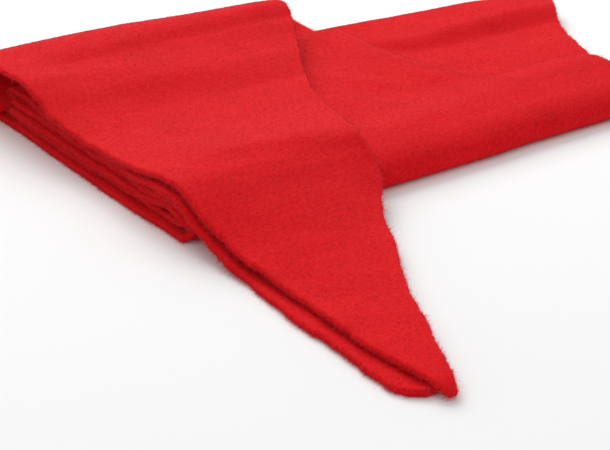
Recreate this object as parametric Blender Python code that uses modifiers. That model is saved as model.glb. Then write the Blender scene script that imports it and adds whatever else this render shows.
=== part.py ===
"""Triangle scarf of fulled wool, folded flat, in Blender 4.5 (metres, +Z up).

One long triangle of soft felted knit is doubled tip to tip, so it is two plies
thick everywhere, and then folded in three like a letter:

* the bottom pair lies on the table, its mid fold along the far edge,
* the near fold turns it back over itself as the middle pair,
* the far fold turns it again, and the last pair runs over the near fold and
  ends in the two tips on the table.

The outer ply of the near fold is `band_outer`, the plies hidden inside it are
`band_inner`, and the pair that crosses over the top is `flap_lower` and
`flap_upper`.  Every ply is one smooth surface given its thickness by Solidify.

Lengths are in millimetres until `MM` scales them.  U runs along the near fold
from its left end, V runs from the near fold to the far fold, and Z is up.
"""

import bpy
import numpy as np

MM = 0.001


def table(columns, rows):
    """Make a table with named columns, a row for each section."""
    return np.array(rows, dtype=[(name, float) for name in columns.split()])


# ---------------------------------------------------------------- driving sizes
PLY = 2.6                # thickness of the fulled knit
AIR = 0.4                # air between two plies that lie on each other
PITCH = PLY + AIR
SEAM = 0.3               # parting between two stretches of the same ply

LEFT_END = -1.2          # U of the straight raw edges at the near fold
NEAR_WIDTH = 264.0       # U where the cloth ends on the right of the near fold
ROLL_START = 13.0        # V where the outer ply starts to turn at the near fold
NOSE_HEIGHT = 4.8        # height of the foremost line of the near fold
NOSE_FOOT = 5.0          # how far behind that line the cloth lies flat again
INNER_TUCK = 6.0         # how far inside the outer ply's nose the inner plies turn
INNER_DELAY = 4.0        # how much farther in their turn starts
INNER_NOSE_RISE = 2.6    # height of their nose over their lower ply

MIDDLE_SEAM = 160.0      # V where the middle pair hands over to the far fold
LOWER_FOLD = 10.0        # how far behind that seam the lower flap turns
FAR_SKEW = 24.0          # how much farther right the far fold's raw edge starts
EDGE_STEP = 1.2          # how far the inner raw edge lies behind the outer one
SQUARENESS = 0.35        # how far ribs bend to meet the free edge squarely

BASE_SEAM = 10.0         # how far inside the bottom mid fold its two plies part
FLAT_REACH = 2.6         # depth of that fold's turn where its plies lie flat
REACH_PER_ROLL = 0.9     # how much deeper the turn is for each mm of roll
FAR_NOSE_SHARE = 0.45    # height of the turn's nose, as a share of the roll's
ROLL_FOOT = 35.0         # how far before its crest the bottom pair's roll starts
ROLL_TOP = 22.0          # and where it has its full height

CENTRE_U = 165.3         # middle of the whole outline, taken as the origin
CENTRE_V = 25.6

# mid heights of plies that lie flat on each other, from the table up
Z_BASE = PLY / 2.0
Z_INNER_LOW = Z_BASE + PITCH
Z_INNER_TOP = Z_BASE + 2.0 * PITCH
Z_OUTER_TOP = Z_BASE + 3.0 * PITCH
Z_FLAP_LOW = Z_BASE + 4.0 * PITCH

WOOL_RED = (0.63, 0.012, 0.022, 1.0)
WOOL_RED_DEEP = (0.55, 0.010, 0.018, 1.0)

# Sections of a flap, from the far fold to its tip.  v: place; left and right:
# the two raw edges; under_l and under_r: height of the underside along those
# edges; belly: how far its middle stands over the line between them.
FLAP_COLUMNS = "v left right under_l under_r belly"
FLAP_UPPER = table(FLAP_COLUMNS, [
    (166.0, -5.0, 165.0, 27.4, 26.0, 1.2),
    (150.0, -4.6, 157.5, 27.4, 25.6, 0.9),
    (136.0, -4.2, 149.5, 26.2, 22.8, 0.4),
    (121.0, -3.9, 140.5, 23.8, 19.4, -0.2),
    (106.0, -2.8, 131.5, 19.8, 16.4, -0.4),
    (92.0, -1.5, 125.0, 16.8, 15.6, -0.2),
    (78.0, -0.6, 118.0, 15.2, 15.6, 0.3),
    (62.0, -0.2, 111.5, 15.6, 16.2, 0.5),
    (46.0, -0.2, 105.5, 17.0, 17.4, 0.4),
    (32.0, 0.4, 100.0, 18.6, 18.6, 0.3),
    (20.0, 1.2, 95.5, 19.8, 19.4, 0.5),
    (10.0, 1.2, 92.5, 19.4, 19.0, 0.7),
    (1.0, 1.1, 91.0, 17.0, 16.8, 1.0),
    (-7.0, 1.5, 89.0, 13.8, 13.0, 1.1),
    (-15.0, 2.4, 85.6, 10.4, 9.2, 0.9),
    (-24.0, 3.4, 77.6, 7.3, 6.2, 0.6),
    (-38.0, 3.2, 68.2, 5.0, 4.4, 0.3),
    (-53.0, 3.8, 60.5, 4.0, 3.8, 0.2),
    (-70.0, 3.9, 50.5, 3.5, 3.4, 0.2),
    (-90.0, 3.6, 38.8, 3.2, 3.2, 0.1),
    (-110.0, 3.2, 29.4, 3.1, 3.1, 0.1),
    (-128.0, 4.2, 21.0, 3.1, 3.1, 0.0),
    (-140.0, 5.4, 15.2, 2.9, 2.9, 0.0),
    (-147.5, 7.4, 10.6, 0.6, 0.6, 0.0),
])
FLAP_LOWER = table(FLAP_COLUMNS, [
    (160.0, -3.0, 153.0, 12.1, 12.1, 0.0),
    (140.0, -3.4, 143.0, 12.1, 12.1, 0.0),
    (115.0, -3.2, 129.0, 12.1, 12.1, 0.0),
    (90.0, -2.6, 117.0, 12.1, 12.1, 0.0),
    (65.0, -1.8, 106.0, 12.1, 12.1, 0.0),
    (44.0, -1.0, 98.0, 12.6, 12.8, 0.0),
    (30.0, -0.6, 93.0, 14.2, 14.5, 0.0),
    (18.0, -0.6, 88.5, 15.1, 15.4, 0.1),
    (9.0, -0.4, 85.0, 14.8, 15.2, 0.4),
    (2.0, -0.2, 82.5, 12.6, 13.2, 0.9),
    (-4.5, -0.2, 80.0, 9.9, 9.9, 1.1),
    (-11.0, -0.3, 77.0, 7.1, 6.4, 0.9),
    (-18.0, -0.3, 73.0, 5.0, 3.8, 0.5),
    (-26.0, -0.2, 68.0, 2.9, 1.8, 0.2),
    (-36.0, -0.1, 62.0, 0.9, 0.4, 0.0),
    (-50.0, -0.9, 54.0, 0.0, 0.0, 0.0),
    (-70.0, -2.1, 43.0, 0.0, 0.0, 0.0),
    (-92.0, -2.9, 31.0, 0.0, 0.0, 0.0),
    (-112.0, -3.1, 20.0, 0.0, 0.0, 0.0),
    (-126.0, -3.4, 13.0, 0.0, 0.0, 0.0),
    (-135.0, -2.9, 9.5, 0.0, 0.0, 0.0),
    (-139.3, -0.6, 7.2, 0.0, 0.0, 0.0),
])

# The far fold along its width: v is its outermost line, centre its height.
FAR_FOLD = table("u v centre", [
    (-5.0, 196.0, 17.8),
    (30.0, 198.0, 18.0),
    (62.0, 199.0, 18.0),
    (105.0, 195.0, 17.6),
    (140.0, 191.0, 17.2),
    (166.0, 188.0, 16.8),
])

# The near fold along its width: v is the middle of the cloth on its nose.
NEAR_FOLD = table("u v", [
    (-1.2, -0.9),
    (45.0, -3.0),
    (95.0, -5.6),
    (155.0, -5.4),
    (182.0, -4.0),
    (264.0, -3.8),
])

# Far end of the middle pair, a row for each rib of cloth that runs to it from
# the near fold.  Up to the width of the far fold it is the seam with the flap;
# from there it is the free raw edge, drawn into a soft curve.
MIDDLE_END = table("near_u end_u end_v", [
    (-1.2, -0.6, 160.0),
    (50.0, 56.0, 160.0),
    (100.0, 112.0, 160.0),
    (136.0, 153.0, 160.0),
    (160.0, 181.5, 160.0),
    (168.0, 189.5, 156.0),
    (175.0, 191.5, 145.0),
    (183.0, 190.5, 130.0),
    (191.0, 189.5, 114.0),
    (199.0, 190.0, 97.0),
    (207.0, 192.0, 80.0),
    (214.0, 194.5, 66.0),
    (221.0, 200.5, 55.5),
    (230.0, 211.5, 50.5),
    (241.0, 228.0, 50.5),
    (252.0, 246.0, 50.5),
    (264.0, 264.5, 43.0),
])

# Outline of the bottom pair in the same columns.  bow: how far a rib bends to
# the left half way; roll: height of the soft roll that the mid fold makes.
BOTTOM_END = table("near_u end_u end_v bow roll", [
    (-1.2, -1.4, 177.0, 0.4, 0.0),
    (50.0, 56.0, 179.0, 0.2, 0.0),
    (100.0, 112.0, 181.0, 0.0, 0.0),
    (136.0, 153.0, 183.0, 0.0, 0.0),
    (164.0, 187.0, 181.5, 0.0, 0.0),
    (176.0, 200.5, 179.5, 0.2, 1.0),
    (188.0, 214.0, 176.5, 0.5, 2.8),
    (201.0, 231.5, 172.0, 1.0, 3.8),
    (216.0, 257.5, 167.5, 2.5, 5.2),
    (232.0, 289.0, 162.0, 5.0, 6.0),
    (248.0, 318.0, 155.5, 8.0, 6.0),
    (264.0, 342.0, 148.0, 10.8, 4.6),
])

# Swells of the band's top.  rise: height; from_u and full_u: where it grows to
# that height; crest: its line in V; near and far: its widths before and after.
SWELLS = table("rise from_u full_u crest near far", [
    (2.9, -30.0, -10.0, 17.0, 40.0, 17.0),
    (0.7, 120.0, 230.0, 17.0, 40.0, 17.0),
    (1.3, 165.0, 205.0, 64.0, 15.0, 900.0),
])

# where rows or columns are crowded: centre, width, and how much closer they are
FLAP_CROWDING = (0.0, 26.0, 1.5)         # V, at the near fold
RIB_CROWDING = (187.0, 45.0, 1.4)        # U, at the free raw edge
ROLL_CROWDING = (0.82, 0.10, 2.6)        # share of the way to the mid fold
CROWD_SAMPLES = 400

# how many rows and columns a stretch of surface has
FLAP_ACROSS = 13
UPPER_ROWS = 42
LOWER_ROWS = 34
FAR_TURN_ROWS = 13
LOWER_TURN_ROWS = 9
RIB_COUNT = 26
BAND_ROWS = 15
BASE_ROWS = 8
NEAR_TURN_ROWS = 13
INNER_TURN_ROWS = 11
LOW_ROWS = 20
EDGE_TURN_ROWS = 9
SHARP_ANGLE = 0.9        # radians between faces that shows as an edge


# ---------------------------------------------------------------------- curves
def smooth(rows, column, at, key):
    """Read a table column at given places, as a curve with no overshoot.

    Cubic pieces run through the rows; each row's slope is the harmonic mean of
    the slopes beside it, or flat where the column turns.
    """
    order = np.argsort(rows[key])
    x = rows[key][order]
    y = rows[column][order]
    step = np.diff(x)
    rise = np.diff(y) / step
    product = rise[:-1] * rise[1:]
    total = rise[:-1] + rise[1:]
    inner = np.where(product > 0.0, 2.0 * product / np.where(total == 0.0, 1.0, total), 0.0)
    slope = np.concatenate(([rise[0]], inner, [rise[-1]]))
    at = np.clip(np.asarray(at, float), x[0], x[-1])
    i = np.clip(np.searchsorted(x, at) - 1, 0, len(step) - 1)
    h = step[i]
    t = (at - x[i]) / h
    return ((1 + 2 * t) * (1 - t) ** 2 * y[i] + t * (1 - t) ** 2 * h * slope[i]
            + t * t * (3 - 2 * t) * y[i + 1] + t * t * (t - 1) * h * slope[i + 1])


def bump(x, centre, before, after):
    """Bell of height 1 at centre, with its own width on each side."""
    width = np.where(x < centre, before, after)
    return np.exp(-((x - centre) / width) ** 2)


def ease(x, start, end):
    """Smooth step from 0 at start to 1 at end."""
    t = np.clip((x - start) / (end - start), 0.0, 1.0)
    return t * t * (3.0 - 2.0 * t)


def crowded(first, last, count, crowding):
    """Places from first to last, set closer to each other round a centre.

    They are (1 + extra) times as close at the centre, and the crowding fades
    as a bell of its own width.
    """
    centre, width, extra = crowding
    fine = np.linspace(first, last, CROWD_SAMPLES)
    weight = 1.0 + extra * bump(fine, centre, width, width)
    reached = np.concatenate(([0.0], np.cumsum((weight[1:] + weight[:-1]) / 2.0)))
    return np.interp(np.linspace(0.0, reached[-1], count), reached, fine)


RIBS = crowded(LEFT_END, NEAR_WIDTH, RIB_COUNT, RIB_CROWDING)


def band_lift(u, v):
    """How far the top of the band stands over plies that lie flat."""
    lift = np.zeros(np.shape(u))
    for swell in SWELLS:
        grown = ease(u, swell["from_u"], swell["full_u"])
        lift = lift + swell["rise"] * grown * bump(v, swell["crest"], swell["near"], swell["far"])
    return lift


# ---------------------------------------------------------------------- meshes
def sheet(name, points, colour, collection):
    """Make one ply: a grid of mid-surface points, thickened evenly both ways."""
    rows, columns, _ = points.shape
    number = np.arange(rows * columns).reshape(rows, columns)
    quads = np.stack([number[:-1, :-1], number[:-1, 1:], number[1:, 1:], number[1:, :-1]], -1)
    placed = (points - np.array([CENTRE_U, CENTRE_V, 0.0])) * MM
    mesh = bpy.data.meshes.new(name)
    mesh.from_pydata(placed.reshape(-1, 3).tolist(), [], quads.reshape(-1, 4).tolist())
    mesh.shade_smooth()
    mesh.set_sharp_from_angle(angle=SHARP_ANGLE)
    piece = bpy.data.objects.new(name, mesh)
    collection.objects.link(piece)
    wall = piece.modifiers.new("Ply", 'SOLIDIFY')
    wall.thickness = PLY * MM
    wall.offset = 0.0
    wall.use_even_offset = True
    wall.thickness_clamp = 0.0
    material = bpy.data.materials.new(name + "_wool")
    material.use_nodes = True
    shader = material.node_tree.nodes["Principled BSDF"]
    shader.inputs["Base Color"].default_value = colour
    shader.inputs["Roughness"].default_value = 0.9
    shader.inputs["Metallic"].default_value = 0.0
    mesh.materials.append(material)
    return piece


def flap_points(rows, v):
    """Mid surface of a flap over its table: rows along it, columns across it."""
    left = smooth(rows, "left", v, "v")[:, None]
    right = smooth(rows, "right", v, "v")[:, None]
    low_l = smooth(rows, "under_l", v, "v")[:, None]
    low_r = smooth(rows, "under_r", v, "v")[:, None]
    belly = smooth(rows, "belly", v, "v")[:, None]
    t = np.linspace(0.0, 1.0, FLAP_ACROSS)
    u = left + (right - left) * t
    z = low_l + (low_r - low_l) * t + 4.0 * belly * t * (1.0 - t) + PLY / 2.0
    return np.stack([u, np.broadcast_to(v[:, None], u.shape), z], -1)


def half_turn(first_row, nose_v, centre_z, low_z, skew, count):
    """Half turn of cloth behind a flap's first row, from the seam below it.

    Each column is half an ellipse: it starts under the row at the seam, goes
    round the nose of the fold and comes back level over it.  Towards the right
    it starts farther right, up to the skew, since the raw edge runs aslant.
    """
    angle = np.linspace(-np.pi / 2.0, np.pi / 2.0, count)[:-1, None]
    share = np.linspace(0.0, 1.0, len(first_row)) ** 2
    u = first_row[:, 0] + skew * share * (1.0 - np.sin(angle)) / 2.0
    start_v = np.where(angle < 0.0, MIDDLE_SEAM, first_row[:, 1])
    v = start_v + (nose_v - start_v) * np.cos(angle)
    half = np.where(angle < 0.0, centre_z - low_z, first_row[:, 2] - centre_z)
    z = centre_z + half * np.sin(angle)
    return np.stack([u, v, z], -1)


def build_flap_upper(collection):
    """Ply on top of everything: round the far fold, over the band, to its tip."""
    v = crowded(FLAP_UPPER["v"][0], FLAP_UPPER["v"][-1], UPPER_ROWS, FLAP_CROWDING)
    top = flap_points(FLAP_UPPER, v)
    nose_v = smooth(FAR_FOLD, "v", top[0][:, 0], "u") - PLY / 2.0
    centre_z = smooth(FAR_FOLD, "centre", top[0][:, 0], "u")
    turn = half_turn(top[0], nose_v, centre_z, Z_INNER_TOP, FAR_SKEW, FAR_TURN_ROWS)
    return sheet("flap_upper", np.concatenate([turn, top]), WOOL_RED, collection)


def build_flap_lower(collection):
    """Ply below it: a tight turn inside the far fold, then down to its own tip."""
    v = crowded(FLAP_LOWER["v"][0], FLAP_LOWER["v"][-1], LOWER_ROWS, FLAP_CROWDING)
    top = flap_points(FLAP_LOWER, v)
    centre_z = (Z_OUTER_TOP + Z_FLAP_LOW) / 2.0
    nose_v = MIDDLE_SEAM + LOWER_FOLD
    turn = half_turn(top[0], nose_v, centre_z, Z_OUTER_TOP, 0.0, LOWER_TURN_ROWS)
    return sheet("flap_lower", np.concatenate([turn, top]), WOOL_RED, collection)


def middle_plan(start_v, back):
    """Plan of a ply of the middle pair, its far end line moved in by `back`.

    Each rib is a quadratic curve from the near fold over a bend to its end.
    The bend lies half way, then SQUARENESS of the way to where the rib would
    meet its end line at a right angle.
    """
    end_u = smooth(MIDDLE_END, "end_u", RIBS, "near_u")
    end_v = smooth(MIDDLE_END, "end_v", RIBS, "near_u")
    step = np.hypot(np.gradient(end_u), np.gradient(end_v))
    along_u = np.gradient(end_u) / step
    along_v = np.gradient(end_v) / step
    end_u = end_u + back * along_v
    end_v = end_v - back * along_u
    half = np.hypot(end_u - RIBS, end_v - start_v) / 2.0
    bend_u = (RIBS + end_u) / 2.0
    bend_v = (start_v + end_v) / 2.0
    bend_u = bend_u + SQUARENESS * (end_u + half * along_v - bend_u)
    bend_v = bend_v + SQUARENESS * (end_v - half * along_u - bend_v)
    s = np.linspace(0.0, 1.0, BAND_ROWS)[:, None]
    u = (1 - s) ** 2 * RIBS + 2 * s * (1 - s) * bend_u + s * s * end_u
    v = (1 - s) ** 2 * start_v + 2 * s * (1 - s) * bend_v + s * s * end_v
    return u, v


def bottom_plan(first_v, last_v, shares):
    """Plan of a ply of the bottom pair, at shares of the way between two places.

    A rib runs from the foot of the near fold to the far edge; its bow bends it
    to the left as a parabola.
    """
    foot_v = smooth(NEAR_FOLD, "v", RIBS, "u") + NOSE_FOOT
    end_u = smooth(BOTTOM_END, "end_u", RIBS, "near_u")
    end_v = smooth(BOTTOM_END, "end_v", RIBS, "near_u")
    bow = smooth(BOTTOM_END, "bow", RIBS, "near_u")
    v = first_v + (last_v - first_v) * shares[:, None]
    s = (v - foot_v) / (end_v - foot_v)
    u = RIBS + (end_u - RIBS) * s - 4.0 * bow * s * (1.0 - s)
    return u, v


def near_turn(top_row, nose_v, nose_z, low_u, foot_v, foot_z, count):
    """Turn of cloth at the near fold, from the top ply down to the lower one.

    Over the nose it is a quarter of an ellipse; under it, a smaller quarter
    that brings the cloth back level, at the places where its ribs go on.
    """
    angle = np.linspace(np.pi / 2.0, -np.pi / 2.0, count)[1:-1, None]
    back_v = np.where(angle > 0.0, top_row[:, 1], foot_v)
    half = np.where(angle > 0.0, top_row[:, 2] - nose_z, nose_z - foot_z)
    u = RIBS + (low_u - RIBS) * (1.0 - np.sin(angle)) / 2.0
    v = back_v + (nose_v - back_v) * np.cos(angle)
    z = nose_z + half * np.sin(angle)
    return np.stack([u, v, z], -1)


def build_band_outer(collection):
    """Outer ply: top of the band, round the near fold, then flat on the table."""
    u, v = middle_plan(ROLL_START, SEAM)
    top = np.stack([u, v, Z_OUTER_TOP + band_lift(u, v)], -1)[::-1]
    nose_v = smooth(NEAR_FOLD, "v", RIBS, "u")
    foot_v = nose_v + NOSE_FOOT
    end_v = smooth(BOTTOM_END, "end_v", RIBS, "near_u")
    u, v = bottom_plan(foot_v, end_v - BASE_SEAM - SEAM, np.linspace(0.0, 1.0, BASE_ROWS))
    base = np.stack([u, v, np.full_like(u, Z_BASE)], -1)
    nose = near_turn(top[-1], nose_v, NOSE_HEIGHT, u[0], foot_v, Z_BASE, NEAR_TURN_ROWS)
    return sheet("band_outer", np.concatenate([top, nose, base]), WOOL_RED, collection)


def build_band_inner(collection):
    """Hidden plies as one folded solid, with the bottom pair's visible top.

    It runs from the middle seam or free edge, under the outer ply, round inside
    the near fold, out over the bottom ply, and down at the mid fold to the table.
    """
    start_v = ROLL_START + INNER_DELAY
    u, v = middle_plan(start_v, SEAM + EDGE_STEP)
    top = np.stack([u, v, Z_INNER_TOP + band_lift(u, v)], -1)[::-1]

    end_v = smooth(BOTTOM_END, "end_v", RIBS, "near_u")
    roll = smooth(BOTTOM_END, "roll", RIBS, "near_u")
    reach = FLAT_REACH + REACH_PER_ROLL * roll
    crest_v = end_v - PLY / 2.0 - reach
    u, v = bottom_plan(start_v, crest_v, crowded(0.0, 1.0, LOW_ROWS, ROLL_CROWDING))
    low = np.stack([u, v, Z_INNER_LOW + roll * ease(v - crest_v, -ROLL_FOOT, -ROLL_TOP)], -1)
    nose_v = smooth(NEAR_FOLD, "v", RIBS, "u") + INNER_TUCK
    nose_z = Z_INNER_LOW + INNER_NOSE_RISE
    nose = near_turn(top[-1], nose_v, nose_z, u[0], start_v, Z_INNER_LOW, INNER_TURN_ROWS)

    angle = np.linspace(np.pi / 2.0, -np.pi / 2.0, EDGE_TURN_ROWS)[1:, None]
    crest_z = low[-1][:, 2]
    middle = Z_BASE + FAR_NOSE_SHARE * (crest_z - Z_BASE)
    half = np.where(angle > 0.0, crest_z - middle, middle - Z_BASE)
    end_u = np.broadcast_to(low[-1][:, 0], half.shape)
    turn = np.stack([end_u, crest_v + reach * np.cos(angle), middle + half * np.sin(angle)], -1)
    hem = turn[-1:].copy()
    hem[0, :, 1] = end_v - BASE_SEAM
    return sheet("band_inner", np.concatenate([top, nose, low, turn, hem]), WOOL_RED_DEEP, collection)


def main():
    """Clear the scene and build the scarf."""
    for old in list(bpy.data.objects):
        bpy.data.objects.remove(old, do_unlink=True)
    collection = bpy.data.collections.new("triangle_scarf")
    bpy.context.scene.collection.children.link(collection)
    build_flap_upper(collection)
    build_flap_lower(collection)
    build_band_outer(collection)
    build_band_inner(collection)


main()
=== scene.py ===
"""Folded triangle scarf of fulled wool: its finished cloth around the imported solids.

The scarf is one long triangle of milled knit, doubled tip to tip and folded in
three.  Each stretch that shows is a class below.  It works out the middle of
its ply as a grid, gives it a wall with soft raw edges, and dresses it with nap
and with the loose fibres of its cut edges.

Lengths are millimetres until `MM` scales them.  U runs along the near fold from
its left end, V runs from the near fold to the far fold, and Z is up.
"""

import logging
import math
from dataclasses import dataclass
from enum import Enum

import bpy
import numpy as np
from mathutils import Matrix, Vector


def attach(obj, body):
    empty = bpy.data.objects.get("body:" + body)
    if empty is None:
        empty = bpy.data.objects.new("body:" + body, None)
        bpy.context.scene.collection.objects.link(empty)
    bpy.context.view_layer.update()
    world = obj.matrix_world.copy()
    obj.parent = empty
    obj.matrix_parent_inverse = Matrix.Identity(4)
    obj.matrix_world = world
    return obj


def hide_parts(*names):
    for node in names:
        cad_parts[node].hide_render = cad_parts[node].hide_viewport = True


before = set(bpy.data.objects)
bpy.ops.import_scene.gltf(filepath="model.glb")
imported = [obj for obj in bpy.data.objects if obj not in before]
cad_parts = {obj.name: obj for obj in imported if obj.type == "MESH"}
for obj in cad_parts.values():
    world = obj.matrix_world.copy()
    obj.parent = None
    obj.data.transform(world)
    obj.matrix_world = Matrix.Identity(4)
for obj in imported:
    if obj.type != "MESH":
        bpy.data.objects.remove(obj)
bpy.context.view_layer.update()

LOG = logging.getLogger("triangle_scarf")
MM = 0.001


def table(columns: str, rows: list) -> np.ndarray:
    """Make a table with named columns, a row for each section."""
    return np.array(rows, dtype=[(name, float) for name in columns.split()])


# ---------------------------------------------------------------- driving sizes
PLY = 2.6                # thickness of the fulled knit
AIR = 0.4                # air between two plies that lie on each other
PITCH = PLY + AIR
SEAM = 0.3               # parting between two stretches of the same ply
CLOTH_STEP = 1.5         # spacing of the rows of cloth
RIM_RADIUS = PLY / 2.0   # of the round of a raw edge
RIM_STEPS = np.array([0.0, 0.1, 0.32, 0.7, RIM_RADIUS])    # rows that draw that round
TWO_RIMS = 2.6 * RIM_RADIUS      # least width with room for two whole rims
ENDS_ROOM = 2.0          # what a flap's even rows leave at its tip for the rim's
GRAIN = math.radians(-31.0)      # the way the milled fibres lie, from U towards V

LEFT_END = -1.2          # U of the straight raw edges at the near fold
NEAR_WIDTH = 264.0       # U where the cloth ends on the right of the near fold
ROLL_START = 13.0        # V where the outer ply starts to turn at the near fold
NOSE_HEIGHT = 4.8        # height of the foremost line of the near fold
NOSE_FOOT = 5.0          # how far behind that line the cloth lies flat again
INNER_TUCK = 6.0         # how far inside the outer ply's nose the inner plies turn
INNER_DELAY = 4.0        # how much farther in their turn starts
INNER_NOSE_RISE = 2.6    # height of their nose over their lower ply

MIDDLE_SEAM = 160.0      # V where the middle pair hands over to the far fold
LOWER_FOLD = 10.0        # how far behind that seam the lower flap turns
FAR_SKEW = 24.0          # how much farther right the far fold's raw edge starts
EDGE_STEP = 1.2          # how far the inner raw edge lies behind the outer one
FREE_START = 160.0       # U of the far end where the seam turns into a free edge
FREE_FULL = 172.0        # U where it is all free
FREE_CLEAR = 163.0       # U past which the far end stands clear of the flap
SQUARENESS = 0.15        # how far ribs bend to meet the free edge squarely
LEAST_APPROACH = 0.35    # least share of a rib's half that counts as square to it

BASE_SEAM = 10.0         # how far inside the bottom mid fold its two plies part
FLAT_REACH = 2.6         # depth of that fold's turn where its plies lie flat
REACH_PER_ROLL = 0.9     # how much deeper the turn is for each mm of roll
FAR_NOSE_SHARE = 0.45    # height of the turn's nose, as a share of the roll's
ROLL_FOOT = 112.0        # V where the bottom pair's roll starts
ROLL_TOP = 130.0         # V where it has its full height
ROLL_VEER = 17.0         # how much farther both lie at the free edge

Z_BASE = PLY / 2.0
Z_INNER_LOW = Z_BASE + PITCH
Z_INNER_TOP = Z_BASE + 2.0 * PITCH
Z_OUTER_TOP = Z_BASE + 3.0 * PITCH
Z_FLAP_LOW = Z_BASE + 4.0 * PITCH

ORIGIN = np.array([165.3, 25.6, 0.0])     # U, V and Z of the frame's origin

# Sections of a flap, from the far fold to its tip.  v: place; left and right:
# the two raw edges; under_l and under_r: height of the underside along those
# edges; belly: how far its middle stands over the line between them.
FLAP_COLUMNS = "v left right under_l under_r belly"
FLAP_UPPER = table(FLAP_COLUMNS, [
    (166.0, -5.0, 165.0, 27.4, 26.0, 1.2),
    (150.0, -3.6, 157.5, 28.2, 25.6, 0.5),
    (136.0, -3.2, 149.5, 28.0, 22.8, -0.1),
    (121.0, -3.2, 140.5, 24.8, 19.4, -0.5),
    (106.0, -2.8, 131.5, 19.8, 16.4, -0.4),
    (92.0, -1.5, 125.0, 16.8, 15.6, -0.2),
    (78.0, -0.6, 118.0, 15.2, 15.6, 0.3),
    (62.0, -0.2, 111.5, 15.6, 16.2, 0.5),
    (46.0, -0.2, 105.5, 17.0, 17.4, 0.4),
    (32.0, 0.4, 100.0, 18.6, 18.6, 0.3),
    (20.0, 1.2, 95.5, 19.8, 19.4, 0.5),
    (10.0, 1.2, 92.5, 19.4, 19.0, 0.7),
    (1.0, 1.1, 91.0, 17.0, 16.8, 1.0),
    (-7.0, 1.5, 89.0, 13.8, 13.0, 1.8),
    (-15.0, 2.4, 85.6, 10.4, 9.2, 2.9),
    (-24.0, 3.4, 77.6, 7.3, 6.2, 3.6),
    (-38.0, 3.2, 68.2, 5.0, 4.4, 2.8),
    (-53.0, 3.8, 60.5, 4.0, 3.8, 1.3),
    (-70.0, 3.9, 50.5, 3.5, 3.4, 0.2),
    (-90.0, 3.6, 38.8, 3.2, 3.2, 0.1),
    (-110.0, 3.2, 29.4, 3.1, 3.1, 0.1),
    (-128.0, 4.2, 21.0, 3.1, 3.1, 0.0),
    (-140.0, 5.4, 15.2, 2.9, 2.9, 0.0),
    (-147.5, 7.4, 10.6, 0.6, 0.6, 0.0),
])
FLAP_LOWER = table(FLAP_COLUMNS, [
    (MIDDLE_SEAM, 6.0, 153.0, 12.1, 12.1, 0.0),
    (140.0, 4.4, 143.0, 12.1, 12.1, 0.0),
    (115.0, 3.0, 129.0, 12.1, 12.1, 0.0),
    (90.0, 2.6, 117.0, 12.1, 12.1, 0.0),
    (65.0, 1.8, 106.0, 12.1, 12.1, 0.0),
    (44.0, 0.4, 98.0, 12.6, 12.8, 0.0),
    (30.0, -0.6, 93.0, 14.2, 14.5, 0.0),
    (18.0, -0.6, 88.5, 15.1, 15.4, 0.1),
    (9.0, -0.4, 85.0, 14.8, 15.2, 0.4),
    (2.0, -0.2, 82.5, 12.6, 13.2, 0.9),
    (-4.5, -0.2, 80.0, 9.9, 9.9, 1.1),
    (-11.0, -0.3, 77.0, 7.1, 6.4, 0.9),
    (-18.0, -0.3, 73.0, 5.0, 3.8, 0.5),
    (-26.0, -0.2, 68.0, 2.9, 1.8, 0.2),
    (-36.0, -0.1, 62.0, 0.9, 0.4, 0.0),
    (-50.0, -0.9, 54.0, 0.0, 0.0, 0.0),
    (-70.0, -2.1, 43.0, 0.0, 0.0, 0.0),
    (-92.0, -2.9, 31.0, 0.0, 0.0, 0.0),
    (-112.0, -3.1, 20.0, 0.0, 0.0, 0.0),
    (-126.0, -3.4, 15.0, 0.0, 0.0, 0.0),
    (-133.5, -2.9, 12.8, 0.0, 0.0, 0.0),
    (-137.6, -1.0, 11.4, 0.0, 0.0, 0.0),
    (-141.6, 3.6, 10.4, 0.0, 0.0, 0.0),
])

# The far fold along its width: v is its outermost line, centre its height.
FAR_FOLD = table("u v centre", [
    (-5.0, 191.5, 17.8),
    (30.0, 193.5, 18.0),
    (62.0, 194.5, 18.0),
    (105.0, 190.5, 17.6),
    (140.0, 187.5, 17.2),
    (166.0, 187.0, 16.8),
])

# The near fold along its width: v is the middle of the cloth on its nose.
NEAR_FOLD = table("u v", [
    (LEFT_END, -0.9),
    (45.0, -3.0),
    (95.0, -5.6),
    (155.0, -5.4),
    (182.0, -4.0),
    (NEAR_WIDTH, -3.8),
])

# Far end of the middle pair, a row for each rib of cloth that runs to it from
# the near fold.  Up to the width of the far fold it is the seam with the flap;
# from there it is the free raw edge, drawn into a soft curve.
MIDDLE_END = table("near_u end_u end_v", [
    (LEFT_END, -0.6, MIDDLE_SEAM),
    (50.0, 56.0, MIDDLE_SEAM),
    (100.0, 112.0, MIDDLE_SEAM),
    (136.0, 153.0, MIDDLE_SEAM),
    (160.0, 181.5, MIDDLE_SEAM),
    (168.0, 189.5, 156.0),
    (175.0, 191.5, 145.0),
    (183.0, 190.5, 130.0),
    (191.0, 189.5, 114.0),
    (199.0, 190.0, 97.0),
    (207.0, 192.0, 80.0),
    (214.0, 194.5, 66.0),
    (221.0, 200.5, 55.5),
    (230.0, 211.5, 50.5),
    (241.0, 228.0, 50.5),
    (252.0, 246.0, 50.5),
    (NEAR_WIDTH, 264.5, 43.0),
])

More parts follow.
